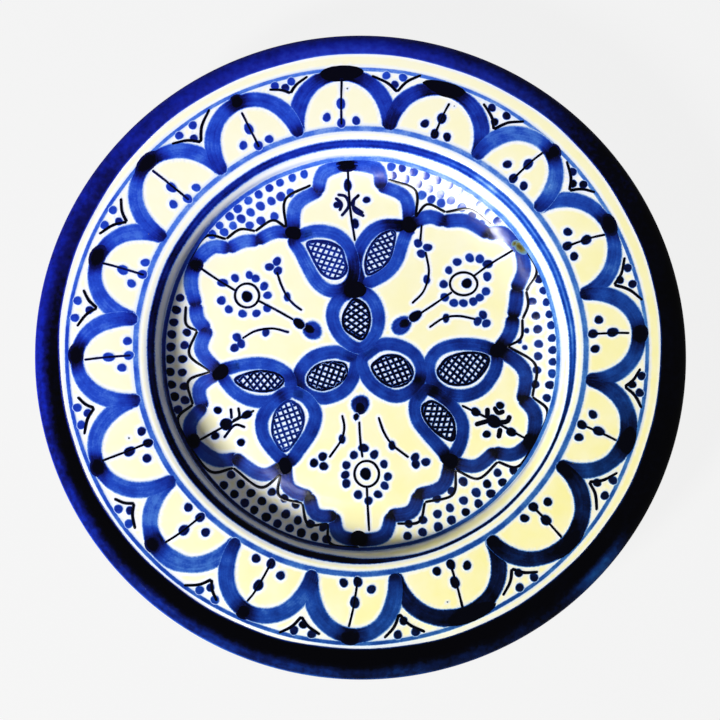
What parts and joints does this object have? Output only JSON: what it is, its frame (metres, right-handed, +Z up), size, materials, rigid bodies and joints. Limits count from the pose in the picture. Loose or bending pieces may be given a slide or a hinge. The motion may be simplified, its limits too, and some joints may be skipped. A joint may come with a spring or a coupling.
{
  "type": "hand painted ceramic plate",
  "caption": "Round glazed earthenware serving plate on a turned foot ring, with a wide rim, a sunken well, a cobalt edge and brushed arches, star and petals.",
  "frame": {"origin": "centre of the foot ring's standing face", "axes": "+Z up out of the painted face, +Y towards the top of the painted pattern"},
  "size_m": [0.3, 0.3, 0.0368],
  "materials": {
    "bare_clay": "bare fired earthenware, matt",
    "white_glaze": "warm white glaze, glossy",
    "edge_cobalt": "deep cobalt glaze, glossy",
    "brushed_cobalt": "brushed cobalt under a glossy glaze",
    "thin_cobalt": "watered cobalt under a glossy glaze",
    "dark_cobalt": "heavily loaded cobalt under a glossy glaze"
  },
  "bodies": {
    "root": {"clay_body": "bare_clay", "face_glaze": "white_glaze", "edge_band": "edge_cobalt", "back_glaze": "white_glaze", "foot_recess_glaze": "white_glaze", "outer_line": "thin_cobalt", "arch_garland": "brushed_cobalt", "arch_foot_line": "thin_cobalt", "shoulder_line": "brushed_cobalt", "well_line": "thin_cobalt", "star_border": "brushed_cobalt", "petal_web": "brushed_cobalt", "hatched_cell_1": "dark_cobalt", "hatched_cell_2": "dark_cobalt", "hatched_cell_3": "dark_cobalt", "hatched_cell_4": "dark_cobalt", "hatched_cell_5": "dark_cobalt", "hatched_cell_6": "dark_cobalt", "hatched_cell_7": "dark_cobalt", "hatched_cell_8": "dark_cobalt", "hatched_cell_9": "dark_cobalt"}
  },
  "joints": []
}
